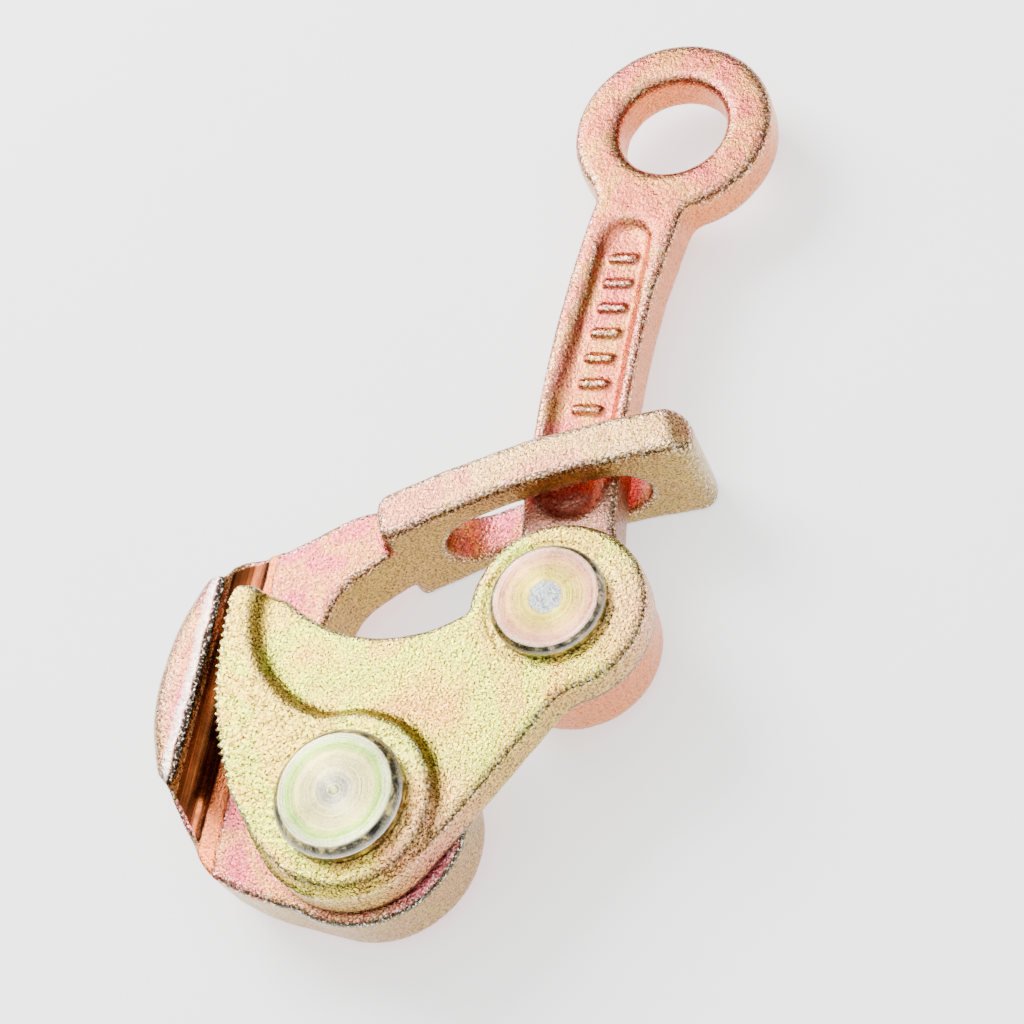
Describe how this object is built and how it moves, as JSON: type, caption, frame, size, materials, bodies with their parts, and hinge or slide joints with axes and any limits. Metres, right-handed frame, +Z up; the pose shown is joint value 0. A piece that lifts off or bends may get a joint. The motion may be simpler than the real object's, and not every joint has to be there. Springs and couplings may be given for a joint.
{
  "type": "wire rope grip",
  "caption": "Forged come-along grip for wire rope: grooved fixed jaw, toothed cam lever on a headed pin, guide loop, and a bowed pull bar that ends in an eye.",
  "frame": {"origin": "on the centreline of the rope's groove, abreast of the main pin", "axes": "+X along the rope, the way the eye is pulled; +Y from the pins to the rope; +Z up to the heads of the pins"},
  "size_m": [0.1772, 0.0894, 0.031],
  "materials": {
    "frame": "forged skin, yellow zinc plate",
    "cam_lever": "forged skin, yellow zinc plate",
    "pull_bar": "forged skin, yellow zinc plate",
    "main_pin": "turned, zinc plate",
    "link_pin": "turned, zinc plate"
  },
  "bodies": {
    "frame": {"frame": "frame", "main_pin": "main_pin"},
    "cam_lever": {"cam_lever": "cam_lever", "link_pin": "link_pin"},
    "pull_bar": {"pull_bar": "pull_bar"}
  },
  "joints": [
    {"name": "lever_pivot", "type": "hinge", "parent": "frame", "child": "cam_lever", "pos_m": [0, -0.0308, 0], "axis": [0, 0, 1], "range_deg": [-25, 0]},
    {"name": "bar_pivot", "type": "hinge", "parent": "cam_lever", "child": "pull_bar", "pos_m": [0.0373, -0.0586, 0], "axis": [0, 0, 1], "range_deg": [-1, 46]}
  ],
  "couplings": [
    {"joint": "bar_pivot", "follows": "lever_pivot", "ratio": -1.8}
  ]
}
